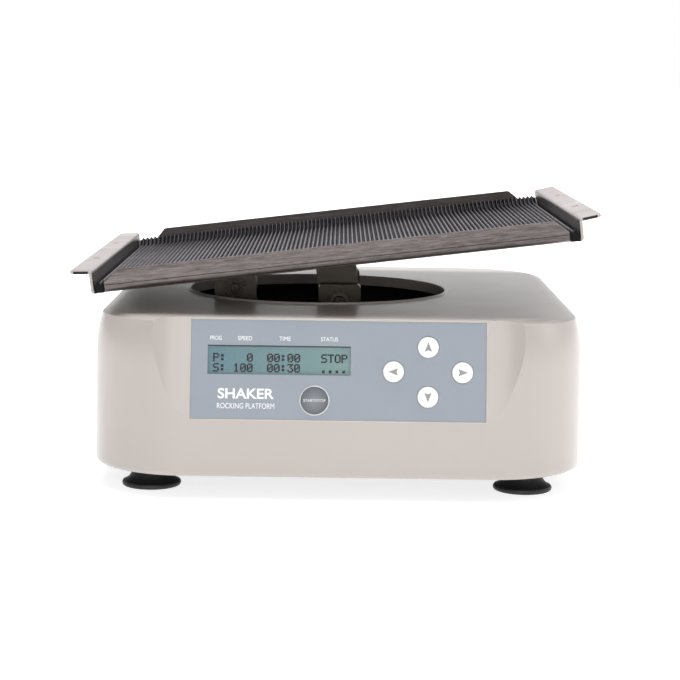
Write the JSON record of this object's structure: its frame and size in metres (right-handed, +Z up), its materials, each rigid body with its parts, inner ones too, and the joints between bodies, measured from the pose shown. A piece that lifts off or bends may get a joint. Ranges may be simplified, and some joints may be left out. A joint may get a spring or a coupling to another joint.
{
  "type": "laboratory rocking platform shaker",
  "caption": "Bench-top see-saw rocking shaker: rounded housing with a sloping keypad and display, and a tilting sheet-metal tray on a crank drive.",
  "frame": {"origin": "on the bench, at the centre of the four feet", "axes": "+X to the user's right, +Y to the back of the machine, +Z up"},
  "size_m": [0.2957, 0.3138, 0.1581],
  "materials": {
    "housing_plastic": "warm light grey moulded plastic, satin with a fine grain",
    "painted_steel": "black powder coat",
    "rubber_black": "black rubber",
    "mat_rubber": "dark grey ribbed non-slip rubber",
    "zinc_steel": "zinc plated steel",
    "panel_film": "blue-grey satin film",
    "clear_window": "clear acrylic",
    "display_glass": "green-blue liquid crystal display",
    "circuit_board": "green solder mask",
    "black_plastic": "black moulded plastic",
    "brass_pillar": "nickel-free brass",
    "plate_aluminium": "satin sheet",
    "machined_aluminium": "dark anodised, milled",
    "bearing_steel": "ground steel",
    "crank_steel": "turned steel",
    "motor_can": "drawn steel can",
    "tray_steel": "brushed stainless sheet",
    "key_white": "white moulded key",
    "key_grey": "grey moulded key with a white rim"
  },
  "bodies": {
    "base": {"top_cover": "housing_plastic", "base_plate": "painted_steel", "foot_front_left": "rubber_black", "foot_rear_left": "rubber_black", "foot_front_right": "rubber_black", "foot_rear_right": "rubber_black", "foot_screws": "zinc_steel", "foot_nuts": "zinc_steel", "cover_screws": "zinc_steel", "panel_overlay": "panel_film", "lcd_window": "clear_window", "lcd_glass": "display_glass", "lcd_board": "circuit_board", "keypad_board": "circuit_board", "tact_switches": "black_plastic", "panel_standoffs": "brass_pillar", "power_inlet": "black_plastic", "inlet_screws": "zinc_steel", "switch_frame": "black_plastic", "rating_plate": "plate_aluminium", "controller_board": "circuit_board", "board_spacers": "brass_pillar", "power_supply": "plate_aluminium", "bearing_post_front": "machined_aluminium", "bearing_post_rear": "machined_aluminium", "post_screws": "zinc_steel", "bearing_front": "bearing_steel", "bearing_rear": "bearing_steel", "motor_bracket": "painted_steel", "bracket_screws": "zinc_steel", "gearbox": "motor_can", "gearbox_screws": "zinc_steel", "motor": "motor_can"},
    "platform": {"tray": "tray_steel", "ribbed_mat": "mat_rubber", "hub_bracket": "machined_aluminium", "tray_screws": "zinc_steel", "rocker_shaft": "bearing_steel", "shaft_rings": "zinc_steel", "rod_lug": "machined_aluminium", "wrist_pin": "bearing_steel"},
    "rod": {"connecting_rod": "machined_aluminium", "small_end_bearing": "bearing_steel", "big_end_bearing": "bearing_steel", "crank_pin": "bearing_steel"},
    "crank": {"crank_disc": "crank_steel", "output_shaft": "bearing_steel"},
    "key_up": {"key_up": "key_white"},
    "key_down": {"key_down": "key_white"},
    "key_left": {"key_left": "key_white"},
    "key_right": {"key_right": "key_white"},
    "key_start": {"key_start": "key_grey"},
    "power_rocker": {"switch_rocker": "black_plastic"}
  },
  "joints": [
    {"name": "platform_tilt", "type": "hinge", "parent": "base", "child": "platform", "pos_m": [0, 0.02, 0.0954], "axis": [0, 1, 0], "range_deg": [0, 14]},
    {"name": "rod_swing", "type": "hinge", "parent": "platform", "child": "rod", "pos_m": [-0.06344, -0.021, 0.10333], "axis": [0, 1, 0], "range_deg": [-9.65, 0]},
    {"name": "crank_turn", "type": "hinge", "parent": "base", "child": "crank", "pos_m": [-0.06154, -0.016, 0.06092], "axis": [0, 1, 0], "range_deg": [0, 180]},
    {"name": "key_up_press", "type": "slide", "parent": "base", "child": "key_up", "axis": [0, 0.9781, -0.2079], "range_m": [0, 0.0008], "stiffness_N_per_m": 900},
    {"name": "key_down_press", "type": "slide", "parent": "base", "child": "key_down", "axis": [0, 0.9781, -0.2079], "range_m": [0, 0.0008], "stiffness_N_per_m": 900},
    {"name": "key_left_press", "type": "slide", "parent": "base", "child": "key_left", "axis": [0, 0.9781, -0.2079], "range_m": [0, 0.0008], "stiffness_N_per_m": 900},
    {"name": "key_right_press", "type": "slide", "parent": "base", "child": "key_right", "axis": [0, 0.9781, -0.2079], "range_m": [0, 0.0008], "stiffness_N_per_m": 900},
    {"name": "key_start_press", "type": "slide", "parent": "base", "child": "key_start", "axis": [0, 0.9781, -0.2079], "range_m": [0, 0.0008], "stiffness_N_per_m": 900},
    {"name": "power_rocker_flip", "type": "hinge", "parent": "base", "child": "power_rocker", "pos_m": [0.028, 0.1536, 0.046], "axis": [-1, 0, 0], "range_deg": [0, 14]}
  ],
  "couplings": [
    {"joint": "rod_swing", "follows": "platform_tilt", "ratio": -0.6887},
    {"joint": "crank_turn", "follows": "platform_tilt", "ratio": 12.857}
  ]
}
